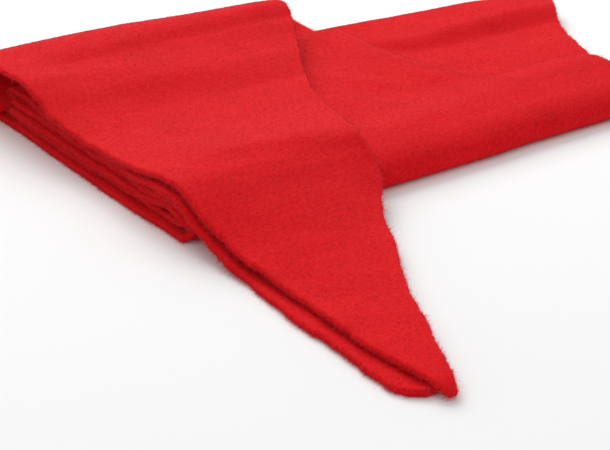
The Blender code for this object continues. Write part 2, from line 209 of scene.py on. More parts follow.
# Outline of the bottom pair in the same columns.  bow: how far a rib bends to
# the left half way; roll: height of the soft roll that the mid fold makes.
BOTTOM_END = table("near_u end_u end_v bow roll", [
    (LEFT_END, -0.6, 177.0, 0.4, 0.0),
    (50.0, 56.0, 179.0, 0.2, 0.0),
    (100.0, 112.0, 181.0, 0.0, 0.0),
    (136.0, 153.0, 183.0, 0.0, 0.0),
    (164.0, 187.0, 181.5, 0.0, 0.0),
    (176.0, 200.5, 179.5, 0.2, 1.0),
    (188.0, 214.0, 174.5, 0.5, 2.8),
    (201.0, 231.5, 170.5, 1.0, 3.8),
    (216.0, 257.5, 165.5, 2.5, 5.2),
    (232.0, 289.0, 162.0, 5.0, 6.0),
    (248.0, 318.0, 155.5, 8.0, 6.0),
    (NEAR_WIDTH, 340.5, 148.0, 10.8, 4.6),
])

# How far each ply of the band stands out at the left end, by its height.
LEFT_STEPS = table("z out", [
    (Z_BASE, 0.2),
    (Z_INNER_LOW, -2.8),
    (Z_INNER_TOP, -1.0),
    (Z_OUTER_TOP, -3.0),
])

# Swells and creases of the cloth.  rise: height, or depth below 0; each runs
# along the line v = crest + slope * u with its own widths near and far of it,
# grows between from_u and full_u, and fades between fade_u and gone_u.
CREASE_COLUMNS = "rise slope crest near far from_u full_u fade_u gone_u"
TO_END = (900.0, 901.0)  # where what runs to the cloth's end fades: past it
WIDE = 900.0             # width of what stays level to the cloth's end
SWELLS = table(CREASE_COLUMNS, [
    (2.9, 0.1, 8.0, 27.0, 17.0, -30.0, -10.0, *TO_END),
    (0.7, 0.0, 17.0, 40.0, 17.0, 120.0, 230.0, *TO_END),
    (1.3, 0.0, 64.0, 15.0, WIDE, 165.0, 205.0, *TO_END),
])
FLAP_CREASES = table(CREASE_COLUMNS, [
    (1.5, -0.06, 176.0, 17.0, 20.0, -30.0, -10.0, *TO_END),
    (1.0, -0.06, 176.0, 17.0, 20.0, 110.0, 155.0, *TO_END),
    (-2.5, 0.06, 143.0, 26.0, 8.0, 0.0, 34.0, *TO_END),
    (1.5, -0.10, 122.0, 12.0, 16.0, 20.0, 60.0, *TO_END),
    (-1.2, 0.02, 76.0, 22.0, 16.0, 0.0, 30.0, *TO_END),
    (1.5, -0.28, 37.0, 8.0, 20.0, 8.0, 34.0, *TO_END),
    (-0.5, -0.20, 16.0, 8.0, 8.0, 20.0, 50.0, *TO_END),
    (0.7, 0.0, -21.0, 10.0, 9.0, 8.0, 24.0, 60.0, 84.0),
    (0.4, 0.30, -52.0, 8.0, 11.0, -8.0, 10.0, 40.0, 60.0),
    (0.3, -0.50, -88.0, 7.0, 10.0, -8.0, 4.0, *TO_END),
])
BAND_CREASES = table(CREASE_COLUMNS, [
    (0.6, 0.10, 13.0, 9.0, 12.0, 96.0, 120.0, 250.0, 264.0),
    (-0.7, -0.50, 145.0, 14.0, 12.0, 130.0, 150.0, 176.0, 186.0),
    (0.5, -1.40, 300.0, 12.0, 10.0, 118.0, 140.0, 178.0, 190.0),
    (-0.6, -0.10, 74.0, 10.0, 8.0, 160.0, 180.0, 215.0, 240.0),
])
LOW_CREASES = table(CREASE_COLUMNS, [
    (0.8, -0.12, 120.0, 14.0, 10.0, 190.0, 215.0, 290.0, 340.0),
    (-0.5, 0.20, 40.0, 9.0, 11.0, 196.0, 220.0, 260.0, 300.0),
])

# Where the upper flap's edges droop, clear of what is below.  share: of the
# full droop; it grows between from_v and full_v and fades between fade_v and
# gone_v.
DROOPS = table("share from_v full_v fade_v gone_v", [
    (1.0, 78.0, 110.0, *TO_END),
    (0.5, 10.0, 24.0, 40.0, 60.0),
])

# How the cloth lies along its raw edges.
LEFT_DRIFT = 0.9         # how far the plies drift in and out along the left end
WAVER_REACH = 6.0        # how far inside a raw edge its waver dies out
EDGE_CURL = 1.6          # how far the cloth rises along the free raw edge
CURL_CREST = 5.0         # how far inside the edge that rise has its crest
CURL_OUTER = 0.8 * CURL_CREST    # its width from the crest to the edge
CURL_INNER = 3.2 * CURL_CREST    # its width from the crest inwards
CURL_START = 154.0       # U where it starts
CURL_FULL = 176.0        # U where it has its full height
LIP_SWELL = 0.16         # how far a cut edge has fluffed up
LIP_PLACE = 1.9          # how far inside the edge that is highest
LIP_OUTER = 1.2          # its width from there to the edge
LIP_INNER = 2.2          # its width from there inwards
EDGE_DROOP = 0.9         # how far the flap droops at its raw edges
DROOP_WIDTH = 6.0        # how wide that droop is
TIP_WIDTH = 1.2          # least width of a flap, at its tip
HAIR_FLOOR = 0.15        # least height of a hair over the table


class Side(Enum):
    """Which face of a ply a finish goes on."""

    TOP = 1.0
    UNDER = -1.0


class Rim(Enum):
    """The four rims of a ply's grid."""

    LEFT = "left"
    RIGHT = "right"
    START = "start"
    END = "end"


# ---------------------------------------------------------------------- curves
def smooth(rows: np.ndarray, column: str, at: np.ndarray, key: str) -> np.ndarray:
    """Read a table column at given places, as a curve with no overshoot.

    Cubic Hermite pieces run through the rows; each row's slope is the harmonic
    mean of the slopes beside it, or flat where the column turns.

    Args:
        rows: The table.
        column: Name of the column to read.
        at: Places to read it at.
        key: Name of the column that holds the rows' places.

    Returns:
        The curve's values, in the shape of `at`.
    """
    order = np.argsort(rows[key])
    x = rows[key][order]
    y = rows[column][order]
    step = np.diff(x)
    rise = np.diff(y) / step
    product = rise[:-1] * rise[1:]
    total = rise[:-1] + rise[1:]
    inner = np.where(product > 0.0, 2.0 * product / np.where(total == 0.0, 1.0, total), 0.0)
    slope = np.concatenate(([rise[0]], inner, [rise[-1]]))
    at = np.clip(np.asarray(at, float), x[0], x[-1])
    i = np.clip(np.searchsorted(x, at) - 1, 0, len(step) - 1)
    h = step[i]
    t = (at - x[i]) / h
    return ((1 + 2 * t) * (1 - t) ** 2 * y[i] + t * (1 - t) ** 2 * h * slope[i]
            + t * t * (3 - 2 * t) * y[i + 1] + t * t * (t - 1) * h * slope[i + 1])


def bump(x: np.ndarray, centre: float, before: float, after: float) -> np.ndarray:
    """Bell of height 1 at centre, exp(-(distance / width)^2), a width a side."""
    width = np.where(x < centre, before, after)
    return np.exp(-((x - centre) / width) ** 2)


def ease(x: np.ndarray, start: float, end: float) -> np.ndarray:
    """Smooth step 3t^2 - 2t^3 from 0 at start to 1 at end."""
    t = np.clip((x - start) / (end - start), 0.0, 1.0)
    return t * t * (3.0 - 2.0 * t)


def span(x: np.ndarray, start: float, full: float, fade: float, gone: float) -> np.ndarray:
    """Share that grows from start to full and fades from fade to gone: two smooth steps."""
    return ease(x, start, full) * (1.0 - ease(x, fade, gone))


def relief(rows: np.ndarray, u: np.ndarray, v: np.ndarray) -> np.ndarray:
    """Height of a table of creases: the sum of a bell across each one's line.

    Args:
        rows: The table.
        u: Places to work it out at.
        v: The same, across the folds.

    Returns:
        The height at each place.
    """
    total = np.zeros(np.broadcast(u, v).shape)
    for row in rows:
        across = bump(v - row["slope"] * u, row["crest"], row["near"], row["far"])
        along = span(u, row["from_u"], row["full_u"], row["fade_u"], row["gone_u"])
        total = total + row["rise"] * across * along
    return total


def unit(vectors: np.ndarray) -> np.ndarray:
    """Scale vectors on the last axis to length 1."""
    return vectors / np.maximum(np.linalg.norm(vectors, axis=-1, keepdims=True), 1e-9)


@dataclass(frozen=True)
class SoftNoise:
    """Smooth seeded unevenness over a plane: lattice values joined by smooth steps."""

    seed: int
    height: float                  # most that it rises or dips
    cell: float                    # mm between lattice values
    lattice: int = 128             # values a side, past which they repeat
    fine: float = 2.1              # how much finer the second octave is
    share: float = 0.68            # of the first octave; the second has the rest

    def octave(self, x: np.ndarray, y: np.ndarray, seed: int) -> np.ndarray:
        """One octave: bilinear mix, with eased shares, of seeded lattice values.

        Args:
            x: First coordinate, in cells.
            y: Second coordinate, in cells.
            seed: Seed of the lattice.

        Returns:
            Values from -1 to 1, in the shape of x and y.
        """
        values = np.random.default_rng(seed).uniform(-1.0, 1.0, (self.lattice, self.lattice))
        i = np.floor(x).astype(int)
        j = np.floor(y).astype(int)
        fx = ease(x - i, 0.0, 1.0)
        fy = ease(y - j, 0.0, 1.0)
        i0, i1 = i % self.lattice, (i + 1) % self.lattice
        j0, j1 = j % self.lattice, (j + 1) % self.lattice
        low = values[i0, j0] * (1 - fx) + values[i1, j0] * fx
        high = values[i0, j1] * (1 - fx) + values[i1, j1] * fx
        return low * (1 - fy) + high * fy

    def at(self, x: np.ndarray, y: np.ndarray) -> np.ndarray:
        """Height times a mix of two octaves, of which the second is finer and shifted.

        Args:
            x: First coordinate, in millimetres.
            y: Second coordinate, in millimetres.

        Returns:
            The unevenness, in the shape of x and y.
        """
        x = np.asarray(x) / self.cell
        y = np.asarray(y) / self.cell
        coarse = self.octave(x, y, self.seed)
        finer = self.octave(x * self.fine + 5.3, y * self.fine + 1.7, self.seed + 1)
        return self.height * (self.share * coarse + (1.0 - self.share) * finer)


def edge_wave(along: np.ndarray, seed: int) -> np.ndarray:
    """In-plane waver of a cut edge: slow, middling and fast noise of falling size.

    Args:
        along: Places along the edge.
        seed: Seed of the noise.

    Returns:
        How far the edge stands out at each place.
    """
    still = np.zeros_like(along)
    wave = np.zeros_like(along)
    for height, cell in ((0.8, 12.0), (0.45, 5.0), (0.4, 2.6)):
        wave = wave + SoftNoise(seed + int(cell), height, cell).at(along, still)
    return wave


# -------------------------------------------------------------------- finishes
def linear(code: str) -> tuple:
    """Linear RGBA of an sRGB hex colour, by the sRGB transfer curve."""
    parts = [int(code[k:k + 2], 16) / 255.0 for k in (1, 3, 5)]
    return tuple(c / 12.92 if c <= 0.04045 else ((c + 0.055) / 1.055) ** 2.4 for c in parts) + (1.0,)


def new_material(name: str) -> tuple:
    """Make a material.

    Args:
        name: Its name.

    Returns:
        The material, its node tree and its shader.
    """
    material = bpy.data.materials.new(name)
    material.use_nodes = True
    return material, material.node_tree, material.node_tree.nodes["Principled BSDF"]


def add_node(tree: bpy.types.NodeTree, kind: str, settings: dict, inputs: dict) -> bpy.types.Node:
    """Add a shader node with its settings and its inputs.

    Args:
        tree: The material's node tree.
        kind: The node's type name.
        settings: Attributes to set on the node.
        inputs: Values or output sockets for its inputs, by name or number.

    Returns:
        The new node.
    """
    node = tree.nodes.new(kind)
    for name, value in settings.items():
        setattr(node, name, value)
    for name, value in inputs.items():
        if isinstance(value, bpy.types.NodeSocket):
            tree.links.new(value, node.inputs[name])
        else:
            node.inputs[name].default_value = value
    return node


def set_shader(shader: bpy.types.Node, values: dict) -> None:
    """Set constants, by name, on a shader's own sockets."""
    for name, value in values.items():
        shader.inputs[name].default_value = value


@dataclass(frozen=True)
class FulledWool:
    """Milled wool knit, raised to a short soft nap.

    Real fibres are 0.03 mm across, too fine to show, so the pattern is drawn
    as coarse as the tufts that they mat into.  Its tone is darkest in the
    hollows of the tufts' relief and palest on their crests: painted shade
    and painted highlight, over the dye's real cloudiness.
    Real fibres are 0.03 mm across, too fine to show, so the pattern is drawn
    as coarse as the tufts that they mat into.
    """

    name: str = "fulled_wool_knit"
    # deep and light: painted shade in the hollows of the tufts' relief and painted highlight on its crests
    deep: str = "#C2080F"
    shade: str = "#D80D16"
    light: str = "#E81620"
    bloom: str = "#FF464C"
    tuft_length: float = 1.5       # mm, of a matted tuft as it shows
    tuft_width: float = 0.85       # mm
    tuft_cells: float = 0.62       # noise cells in a tuft's width
    grit_cells: float = 0.45       # noise cells of the loose grit in that width
    grit_share: float = 0.3        # of the grit in the relief
    cloud: float = 26.0            # mm, of the dye's cloudiness
    cloud_share: float = 0.22      # how strongly it tints the tufts
    relief: float = 0.19           # mm, height of the matted tufts

    def make(self) -> bpy.types.Material:
        """Build the material from the cloth's own UV map, in metres.

        Noise that is turned along the grain and drawn out by the tuft's length
        over its width makes the tufts; grit and clouds are added to it.  The
        tufts and grit are also the bump's height, so the ramp paints shade into
        the relief's hollows and highlight onto its crests.

        Returns:
            The material.
        """
        material, tree, shader = new_material(self.name)
        width = self.tuft_width * MM
        cloth = add_node(tree, "ShaderNodeUVMap", {"uv_map": "cloth"}, {}).outputs["UV"]
        turned = add_node(tree, "ShaderNodeMapping", {}, {
            "Vector": cloth, "Rotation": (0.0, 0.0, -GRAIN)}).outputs["Vector"]
        drawn = add_node(tree, "ShaderNodeMapping", {}, {
            "Vector": turned, "Scale": (self.tuft_width / self.tuft_length, 1.0, 1.0)}).outputs["Vector"]
        tufts = add_node(tree, "ShaderNodeTexNoise", {}, {
            "Vector": drawn, "Scale": self.tuft_cells / width, "Detail": 4.0, "Roughness": 0.62,
            "Distortion": 0.3}).outputs["Fac"]
        grit = add_node(tree, "ShaderNodeTexNoise", {}, {
            "Vector": cloth, "Scale": self.grit_cells / width, "Detail": 3.0,
            "Roughness": 0.7}).outputs["Fac"]
        clouds = add_node(tree, "ShaderNodeTexNoise", {}, {
            "Vector": cloth, "Scale": 1.0 / (self.cloud * MM), "Detail": 2.0,
            "Roughness": 0.5}).outputs["Fac"]
        fine = add_node(tree, "ShaderNodeMix", {}, {
            "Factor": self.grit_share, 2: tufts, 3: grit}).outputs[0]
        tone = add_node(tree, "ShaderNodeMath", {"operation": 'MULTIPLY_ADD'}, {
            0: clouds, 1: self.cloud_share, 2: fine}).outputs[0]
        # The ramp follows the bump's height: painted shade where it is low, painted highlight where it is
        # high; the clouds add the dye's real uneven tone
        ramp = add_node(tree, "ShaderNodeValToRGB", {}, {"Fac": tone})
        stops = ramp.color_ramp.elements
        stops.new(0.60)
        for stop, place, shade in zip(stops, (0.42, 0.60, 0.80), (self.deep, self.shade, self.light)):
            stop.position = place
            stop.color = linear(shade)
        matted = add_node(tree, "ShaderNodeBump", {}, {
            "Height": fine, "Strength": 1.0, "Distance": self.relief * MM})
        tree.links.new(ramp.outputs["Color"], shader.inputs["Base Color"])
        tree.links.new(matted.outputs["Normal"], shader.inputs["Normal"])
        set_shader(shader, {"Roughness": 0.92, "Specular IOR Level": 0.12, "Sheen Weight": 0.3,
                            "Sheen Roughness": 0.45, "Sheen Tint": linear(self.bloom)})
        return material


@dataclass(frozen=True)
class WoolFibre:
    """Single dyed wool hairs standing from the nap: thin, matt and a little paler.

    Each hair has its own tone and a few are much paler than the rest: that
    pale tone is painted highlight, the sparkle of light on grazed fibre tips,
    put on whole hairs wherever they lie.
    """

    name: str = "loose_wool_fibre"
    shade: str = "#DA111A"
    # tip: colour of the few pale hairs, a painted highlight laid on the whole hair
    tip: str = "#FF5C64"
    bloom: str = "#FF5056"
    rarity: float = 2.3            # how much rarer the hairs with the painted highlight are

    def make(self) -> bpy.types.Material:
        """Build the material, whose tone is a random number for each hair's UV.

        Returns:
            The material.
        """
        material, tree, shader = new_material(self.name)
        cloth = add_node(tree, "ShaderNodeUVMap", {"uv_map": "cloth"}, {}).outputs["UV"]
        vary = add_node(tree, "ShaderNodeTexWhiteNoise", {"noise_dimensions": '2D'}, {
            "Vector": cloth}).outputs["Value"]
        # Share of the pale painted highlight in each hair's colour
        glint_share = add_node(tree, "ShaderNodeMath", {"operation": 'POWER'}, {
            0: vary, 1: self.rarity}).outputs[0]
        colour = add_node(tree, "ShaderNodeMix", {"data_type": 'RGBA'}, {
            "Factor": glint_share, 6: linear(self.shade), 7: linear(self.tip)}).outputs[2]
        tree.links.new(colour, shader.inputs["Base Color"])
        set_shader(shader, {"Roughness": 0.85, "Specular IOR Level": 0.12, "Sheen Weight": 0.12,
                            "Sheen Roughness": 0.4, "Sheen Tint": linear(self.bloom)})
        return material


@dataclass(frozen=True)
class PaleSweep:
    """Matt white paper sweep under the scarf, with no texture that the eye finds."""

    name: str = "paper_sweep"
    shade: str = "#F6F6F6"

    def make(self) -> bpy.types.Material:
        """Build the plain paper material.

        Returns:
            The material.
        """
        material, _, shader = new_material(self.name)
        set_shader(shader, {"Base Color": linear(self.shade), "Roughness": 0.95,
                            "Specular IOR Level": 0.1})
        return material


# ---------------------------------------------------------------------- meshes
def make_piece(name: str, points: np.ndarray, faces: np.ndarray, uv: np.ndarray,
               material: bpy.types.Material) -> bpy.types.Object:
    """Make an object from whole arrays, with its own cloth UV map.

    Args:
        name: The piece's name.
        points: Vertices in millimetres, n by 3, in U, V and Z.
        faces: Corner numbers, m by 3 or m by 4.
        uv: Cloth coordinates of the vertices in millimetres, n by 2.
        material: Its finish.

    Returns:
        The object, at the origin, smooth shaded.
    """
    mesh = bpy.data.meshes.new(name)
    count, corners = faces.shape
    mesh.vertices.add(len(points))
    mesh.vertices.foreach_set("co", ((points - ORIGIN) * MM).astype(np.float32).ravel())
    mesh.loops.add(count * corners)
    mesh.loops.foreach_set("vertex_index", faces.astype(np.int32).ravel())
    mesh.polygons.add(count)
    mesh.polygons.foreach_set("loop_start", np.arange(0, count * corners, corners, dtype=np.int32))
    mesh.polygons.foreach_set("use_smooth", np.ones(count, bool))
    layer = mesh.uv_layers.new(name="cloth")
    layer.data.foreach_set("uv", (uv[faces.ravel()] * MM).astype(np.float32).ravel())
    mesh.update(calc_edges=True)
    mesh.materials.append(material)
    piece = bpy.data.objects.new(name, mesh)
    bpy.context.scene.collection.objects.link(piece)
    return piece


def steps_across(width: np.ndarray, count: int) -> np.ndarray:
    """Distances across a strip: RIM_STEPS from both edges, even steps between.

    Args:
        width: Width of the strip at each place, any shape.
        count: How many even steps lie between the rims' rows.

    Returns:
        Distances from the first edge, with one more axis at the end.
    """
    width = np.asarray(width, float)[..., None]
    rim = RIM_STEPS * np.minimum(1.0, width / TWO_RIMS)
    inner = np.linspace(0.0, 1.0, count + 2)[1:-1]
    middle = rim[..., -1:] + (width - 2.0 * rim[..., -1:]) * inner
    return np.concatenate([rim, middle, width - rim[..., ::-1]], -1)


def cell_area(grid: np.ndarray) -> np.ndarray:
    """Area of each cell of a grid: half the cross product of its diagonals.

    Args:
        grid: Points, rows by columns by 3.

    Returns:
        The areas, one row and one column fewer.
    """
    first = grid[1:, 1:] - grid[:-1, :-1]
    second = grid[1:, :-1] - grid[:-1, 1:]
    return np.linalg.norm(np.cross(first, second), axis=-1) / 2.0


@dataclass
class Ply:
    """A stretch of cloth as the grid of its middle, and its two faces."""

    mid: np.ndarray            # rows, columns, 3
    side: np.ndarray           # distance of each point from the raw edges beside it
    lift: np.ndarray           # small relief of the top face
    under_lift: np.ndarray     # the same of the under face

    def __post_init__(self) -> None:
        """Work out normals, the half thickness and both faces.

        A face is mid plus or minus normal * body * (PLY / 2 + relief), where
        body is sqrt(1 - (1 - d / r)^2) at a distance d under the rim radius r,
        so that raw edges are round.  The top also swells by a bell just inside
        them, where the cut edge has fluffed up.  No face goes under the table.
        """
        along = np.gradient(self.mid, axis=0)
        across = np.gradient(self.mid, axis=1)
        self.normal = unit(np.cross(along, across))
        step = np.linalg.norm(np.diff(self.mid, axis=0), axis=-1).mean(axis=1)
        self.path = np.concatenate([[0.0], np.cumsum(step)])
        ends = np.minimum(self.path, self.path[-1] - self.path)[:, None]
        near = np.minimum(self.side, ends)
        share = np.clip(near / RIM_RADIUS, 0.0, 1.0)
        body = np.sqrt(np.clip(1.0 - (1.0 - share) ** 2, 0.0, 1.0))
        lip = LIP_SWELL * bump(self.side, LIP_PLACE, LIP_OUTER, LIP_INNER)
        self.top = self.mid + self.normal * (body * (PLY / 2.0 + lip + self.lift))[..., None]
        self.under = self.mid - self.normal * (body * (PLY / 2.0 + self.under_lift))[..., None]
        for face in (self.top, self.under):
            face[..., 2] = np.maximum(face[..., 2], 0.0)

    def shell(self, name: str, material: bpy.types.Material) -> bpy.types.Object:
        """Close the two faces, which share their outermost points, into one piece.

        Args:
            name: The piece's name.
            material: Its finish.

        Returns:
            The object.
        """
        rows, columns, _ = self.mid.shape
        number = np.arange(rows * columns).reshape(rows, columns)
        below = number.copy()
        below[1:-1, 1:-1] = np.arange((rows - 2) * (columns - 2)).reshape(rows - 2, -1) + rows * columns
        points = np.concatenate([self.top.reshape(-1, 3), self.under[1:-1, 1:-1].reshape(-1, 3)])
        uv = np.stack([self.mid[..., 0], np.broadcast_to(self.path[:, None], number.shape)], -1)
        uv = np.concatenate([uv.reshape(-1, 2), uv[1:-1, 1:-1].reshape(-1, 2)])
        up = np.stack([number[:-1, :-1], number[1:, :-1], number[1:, 1:], number[:-1, 1:]], -1)
        down = np.stack([below[:-1, :-1], below[:-1, 1:], below[1:, 1:], below[1:, :-1]], -1)
        faces = np.concatenate([up.reshape(-1, 4), down.reshape(-1, 4)])
        return make_piece(name, points, faces, uv, material)

    def area(self) -> float:
        """Area of the middle in square metres."""
        return float(cell_area(self.mid).sum()) * MM * MM

    def rims(self) -> dict:
        """Describe the four rims of the grid.

        Returns:
            For each rim its points, outward directions in the cloth and normals.
        """
        last = len(RIM_STEPS) - 1
        mid = self.mid
        normal = self.normal
        return {
            Rim.LEFT: (mid[:, 0], unit(mid[:, 0] - mid[:, last]), normal[:, last]),
            Rim.RIGHT: (mid[:, -1], unit(mid[:, -1] - mid[:, -1 - last]), normal[:, -1 - last]),
            Rim.START: (mid[0], unit(mid[0] - mid[last]), normal[last]),
            Rim.END: (mid[-1], unit(mid[-1] - mid[-1 - last]), normal[-1 - last]),
        }


# ---------------------------------------------------------------------- fibres
@dataclass
class Hairs:
    """Many hairs as arrays: where they root, aim, droop to, and how long they are."""

    root: np.ndarray
    aim: np.ndarray
    curl: np.ndarray
    length: np.ndarray
    width: float
    knee: float = 0.52             # share of a bent hair's length where it bends
    knee_curl: float = 0.2         # share of its curl that it has there
    knee_radius: float = 0.36      # its radius there, as a share of its width

    def join(self, other: "Hairs") -> "Hairs":
        """Put two sets of hairs of the same width together.

        Args:
            other: The second set.

        Returns:
            Both in one set.
        """
        return Hairs(np.concatenate([self.root, other.root]), np.concatenate([self.aim, other.aim]),
                     np.concatenate([self.curl, other.curl]),
                     np.concatenate([self.length, other.length]), self.width)

    def part(self, start: int, count: int) -> "Hairs":
        """Up to a count of the hairs, from one of them on."""
        some = slice(start, start + count)
        return Hairs(self.root[some], self.aim[some], self.curl[some], self.length[some], self.width)

    def above(self, floor: float) -> "Hairs":
        """Raise the roots, ways and tips that would go under a floor.

        Args:
            floor: Least height of any of them.

        Returns:
            The same hairs.
        """
        self.root[:, 2] = np.maximum(self.root[:, 2], floor)
        self.aim[:, 2] = np.maximum(self.aim[:, 2], (floor - self.root[:, 2]) / self.length)
        tip = self.root[:, 2] + self.aim[:, 2] * self.length + self.curl[:, 2]
        self.curl[:, 2] += np.maximum(0.0, floor - tip)
        return self

    def piece(self, name: str, bent: bool, material: bpy.types.Material) -> bpy.types.Object:
        """Join the hairs into one mesh, each a thin closed three-sided spike.

        A straight hair is a long tetrahedron from a small triangle at its root
        to the tip at root + aim * length + curl.  A bent one has a second,
        narrower triangle at its knee, before most of the curl takes hold.  The
        triangles stand across the aim, turned from an axis well away from it.

        Args:
            name: The piece's name.
            bent: Whether the hairs have that second triangle.
            material: Their finish.

        Returns:
            The joined object.
        """
        axis = np.where(np.abs(self.aim[:, 2:3]) < 0.9, [[0.0, 0.0, 1.0]], [[1.0, 0.0, 0.0]])
        side = unit(np.cross(self.aim, axis))
        up = np.cross(side, self.aim)
        turn = np.arange(3) * 2.0 * np.pi / 3.0
        ring = side[:, None] * np.cos(turn)[None, :, None] + up[:, None] * np.sin(turn)[None, :, None]
        reach = self.length[:, None]
        base = self.root[:, None] + ring * self.width / 2.0
        tip = (self.root + self.aim * reach + self.curl)[:, None]
        if bent:
            centre = self.root + self.aim * reach * self.knee + self.curl * self.knee_curl
            knee = centre[:, None] + ring * self.width * self.knee_radius
            corners = np.concatenate([base, knee, tip], 1)
            sides = np.array([[0, 2, 1], [0, 1, 4], [0, 4, 3], [1, 2, 5], [1, 5, 4], [2, 0, 3],
                              [2, 3, 5], [3, 4, 6], [4, 5, 6], [5, 3, 6]])
        else:
            corners = np.concatenate([base, tip], 1)
            sides = np.array([[0, 2, 1], [0, 1, 3], [1, 2, 3], [2, 0, 3]])
        each = corners.shape[1]
        faces = (np.arange(len(self.root))[:, None, None] * each + sides[None]).reshape(-1, 3)
        uv = np.repeat(self.root[:, :2], each, axis=0)
        return make_piece(name, corners.reshape(-1, 3), faces, uv, material)


@dataclass(frozen=True)
class Nap:
    """Short fibres that the raising pulled up: they lie along the grain.

    They are fewer and about five times thicker than real ones, so as to show.
    """

    density: float = 2.1           # hairs for each square millimetre
    shortest: float = 0.45
    longest: float = 1.35
    width: float = 0.14
    stand: float = 0.48            # how steeply they stand off the cloth
    stand_spread: tuple = (0.35, 1.3)      # least and most of that, as shares
    comb: float = 0.5              # how well they follow the grain
    stray: float = 0.7             # how far they stray from it
    depth: float = 0.1             # how deep they root

    def lay(self, face: np.ndarray, normal: np.ndarray, shown: np.ndarray,
            rng: np.random.Generator) -> Hairs:
        """Scatter nap over a face.

        Cells are drawn with a chance in proportion to their area that shows;
        a root is at a random bilinear place in its cell, and its hair aims
        along the grain, either way, plus a random part and a part outwards.

        Args:
            face: Grid of the face's points.
            normal: Its outward normals.
            shown: Share of each cell that shows.
            rng: Generator of the draws.

        Returns:
            The hairs.
        """
        weight = cell_area(face) * shown
        count = int(weight.sum() * self.density)
        cell = rng.choice(weight.size, count, p=(weight / weight.sum()).ravel())
        i, j = np.unravel_index(cell, weight.shape)
        a = rng.random((count, 1))
        b = rng.random((count, 1))
        corners = [(i, j, (1 - a) * (1 - b)), (i + 1, j, a * (1 - b)),
                   (i, j + 1, (1 - a) * b), (i + 1, j + 1, a * b)]
        root = sum(face[row, column] * share for row, column, share in corners)
        off = unit(sum(normal[row, column] * share for row, column, share in corners))
        grain = np.array([math.cos(GRAIN), math.sin(GRAIN), 0.0]) * rng.choice([-1.0, 1.0], (count, 1))
        flat = grain * self.comb + rng.normal(0.0, self.stray, (count, 3))
        flat = unit(flat - off * np.sum(flat * off, axis=1, keepdims=True))
        aim = unit(flat + off * self.stand * rng.uniform(*self.stand_spread, (count, 1)))
        length = rng.uniform(self.shortest, self.longest, count)
        return Hairs(root - off * self.depth, aim, np.zeros((count, 3)), length, self.width)


@dataclass(frozen=True)
class EdgeFuzz:
    """Loose fibres of a cut edge: they leave its round rim and curl."""

    density: float                 # hairs for each millimetre
    shortest: float
    longest: float
    width: float
    lowest: float = -1.15          # radians round the rim, from below its middle
    highest: float = 1.4           # to above it
    depth: float = 0.9             # how far inside the edge the rim has its middle
    radius: float = 0.95           # of the rim's half circle
    stand: float = 0.9             # how straight they leave it
    stray: float = 0.6             # how far they lean
    rarity: float = 1.7            # how much rarer the long ones are
    bend: float = 0.45             # how far they curl, as a share of their length
    spread: float = 0.35           # how far that curl goes any way
    droop: float = 0.25            # and how far it goes down

    def lay(self, edge: np.ndarray, out: np.ndarray, up: np.ndarray, rng: np.random.Generator) -> Hairs:
        """Scatter fibres along one raw edge.

        A root lies on the half circle of the rim, at out * cos a + up * sin a
        for a random angle a, and its hair leaves it there with a random lean;
        most are short, since a random number to the power `rarity` spreads
        their lengths.

        Args:
            edge: Points of the rim's middle line, n by 3.
            out: Outward directions in the cloth there.
            up: Normals there.
            rng: Generator of the draws.

        Returns:
            The hairs.
        """
        step = np.linalg.norm(np.diff(edge, axis=0), axis=1)
        count = int(step.sum() * self.density)
        i = rng.choice(len(step), count, p=step / step.sum())
        t = rng.random((count, 1))
        angle = rng.uniform(self.lowest, self.highest, (count, 1))
        rim = out[i] * np.cos(angle) + up[i] * np.sin(angle)
        root = edge[i] * (1 - t) + edge[i + 1] * t - out[i] * self.depth + rim * self.radius
        aim = unit(rim * self.stand + rng.normal(0.0, self.stray, (count, 3)))
        long = rng.uniform(0.0, 1.0, count) ** self.rarity
        length = self.shortest + (self.longest - self.shortest) * long
        curl = rng.normal(0.0, self.spread, (count, 3)) * length[:, None] * self.bend
        curl[:, 2] -= self.droop * length * self.bend
        return Hairs(root, aim, curl, length, self.width)


